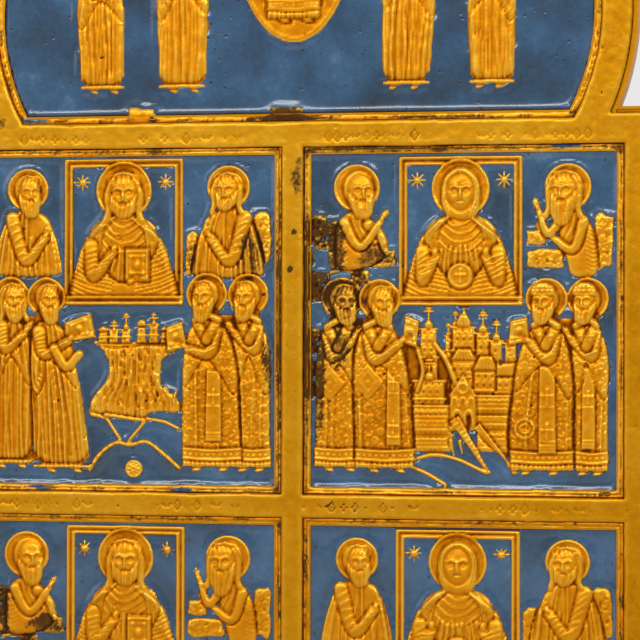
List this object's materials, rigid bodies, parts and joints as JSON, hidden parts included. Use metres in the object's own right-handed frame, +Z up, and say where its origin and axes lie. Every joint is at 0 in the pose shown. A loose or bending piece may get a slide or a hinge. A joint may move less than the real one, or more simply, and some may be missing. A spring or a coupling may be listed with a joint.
{
  "type": "folding travel icon",
  "caption": "Folding devotional icon: hinged gilt brass leaves with keel-arched tops, low-relief sacred scenes and blue enamel; stands in a zigzag, folds flat.",
  "frame": {"origin": "middle of the standing zigzag row, at the level that it stands on", "axes": "+Z up, the relief fronts face -Y, the row of leaves runs along X"},
  "size_m": [0.3974, 0.0298, 0.1744],
  "materials": {
    "gilt_brass": "cast and fire-gilt, rubbed bright on the high spots, dark patina in the hollows",
    "blue_enamel": "opaque grey-blue glossy enamel with small pits",
    "pin_brass": "drawn wire, peened ends, dull"
  },
  "bodies": {
    "leaf_1": {"leaf_1_casting": "gilt_brass", "leaf_1_enamel_top": "blue_enamel", "leaf_1_enamel_upper_left": "blue_enamel", "leaf_1_enamel_upper_right": "blue_enamel", "leaf_1_enamel_lower_left": "blue_enamel", "leaf_1_enamel_lower_right": "blue_enamel", "leaf_1_enamel_back": "blue_enamel"},
    "leaf_2": {"leaf_2_casting": "gilt_brass", "leaf_2_enamel_top": "blue_enamel", "leaf_2_enamel_upper_left": "blue_enamel", "leaf_2_enamel_upper_right": "blue_enamel", "leaf_2_enamel_lower_left": "blue_enamel", "leaf_2_enamel_lower_right": "blue_enamel", "pin_12_lower": "pin_brass", "pin_12_upper": "pin_brass", "pin_23_lower": "pin_brass", "pin_23_upper": "pin_brass"},
    "leaf_3": {"leaf_3_casting": "gilt_brass", "leaf_3_enamel_top": "blue_enamel", "leaf_3_enamel_upper_left": "blue_enamel", "leaf_3_enamel_upper_right": "blue_enamel", "leaf_3_enamel_lower_left": "blue_enamel", "leaf_3_enamel_lower_right": "blue_enamel", "pin_34_lower": "pin_brass", "pin_34_upper": "pin_brass"},
    "leaf_4": {"leaf_4_casting": "gilt_brass", "leaf_4_enamel_top": "blue_enamel", "leaf_4_enamel_upper_left": "blue_enamel", "leaf_4_enamel_upper_right": "blue_enamel", "leaf_4_enamel_lower_left": "blue_enamel", "leaf_4_enamel_lower_right": "blue_enamel", "leaf_4_enamel_back": "blue_enamel"}
  },
  "joints": [
    {"name": "hinge_12", "type": "hinge", "parent": "leaf_2", "child": "leaf_1", "pos_m": [-0.09957, 0.01106, 0], "axis": [0, 0, 1], "range_deg": [-30, 150]},
    {"name": "hinge_23", "type": "hinge", "parent": "leaf_2", "child": "leaf_3", "pos_m": [0, -0.01106, 0], "axis": [0, 0, 1], "range_deg": [-30, 150]},
    {"name": "hinge_34", "type": "hinge", "parent": "leaf_3", "child": "leaf_4", "pos_m": [0.09957, 0.01106, 0], "axis": [0, 0, -1], "range_deg": [-30, 150]}
  ]
}
